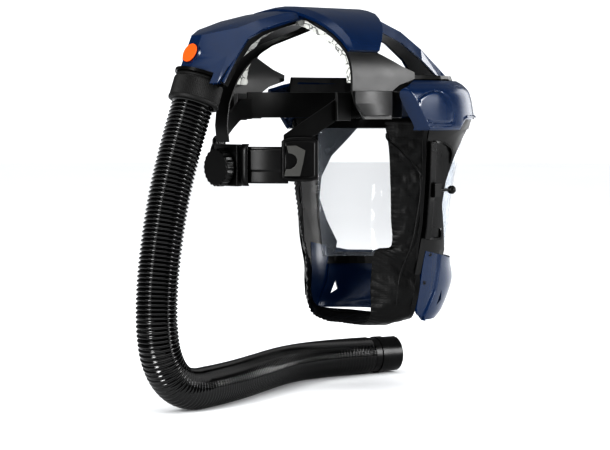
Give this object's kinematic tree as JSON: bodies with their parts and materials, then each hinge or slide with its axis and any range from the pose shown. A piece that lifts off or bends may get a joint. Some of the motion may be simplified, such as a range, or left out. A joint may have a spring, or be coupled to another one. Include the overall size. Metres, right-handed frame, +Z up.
{
  "type": "respirator face shield",
  "caption": "Loose-fitting face shield with a clear visor, cloth face seal, head harness, and an air duct over the head fed by a hose.",
  "frame": {"origin": "centre of the wearer's head, on the plane of symmetry, level with the middle of the ratchet knob", "axes": "+Z up, the wearer looks along -Y, the wearer's right is -X"},
  "size_m": [0.2331, 0.4166, 0.3895],
  "materials": {
    "blue_plastic": "moulded navy blue, satin to gloss",
    "black_plastic": "fine grained black moulding",
    "gloss_black": "smooth black moulding",
    "band_plastic": "smooth flexible black band",
    "collar_rubber": "matte, finely ribbed",
    "hose_plastic": "glossy corrugated hose",
    "orange_plastic": "plain orange inlay",
    "white_foam": "white creased liner strip",
    "grey_plastic": "grey moulding",
    "black_cloth": "black coated cloth, gathered",
    "clear_visor": "clear polished sheet"
  },
  "bodies": {
    "root": {"top_cover": "blue_plastic", "rear_disc": "orange_plastic", "duct_tray": "black_plastic", "hose_collar": "collar_rubber", "hose": "hose_plastic", "hose_connector": "black_plastic", "arch_frame": "black_plastic", "arch_liner": "white_foam", "pivot_cover_right": "black_plastic", "pivot_cover_left": "black_plastic", "pivot_post_right": "black_plastic", "pivot_post_left": "black_plastic", "brow_cover": "blue_plastic", "front_strut": "blue_plastic", "strut_underside": "black_plastic", "side_panel_right": "blue_plastic", "side_panel_left": "blue_plastic", "brow_rim": "black_plastic", "visor_lens": "clear_visor", "visor_frame": "gloss_black", "frame_rod_right": "gloss_black", "frame_rod_left": "gloss_black", "cover_peg_right": "black_plastic", "cover_peg_left": "black_plastic", "chin_cover": "blue_plastic", "face_seal": "black_cloth", "seal_rim": "gloss_black", "rear_band_right": "band_plastic", "rear_band_left": "band_plastic", "ratchet_housing": "band_plastic", "ratchet_knob": "band_plastic", "side_plate_right": "band_plastic", "side_plate_left": "band_plastic", "hook_plate_right": "grey_plastic", "hook_plate_left": "grey_plastic", "front_strap_right": "band_plastic", "front_strap_left": "band_plastic", "strap_clip_right": "black_plastic", "strap_clip_left": "black_plastic", "front_headband": "band_plastic", "overhead_strap": "band_plastic"}
  },
  "joints": []
}
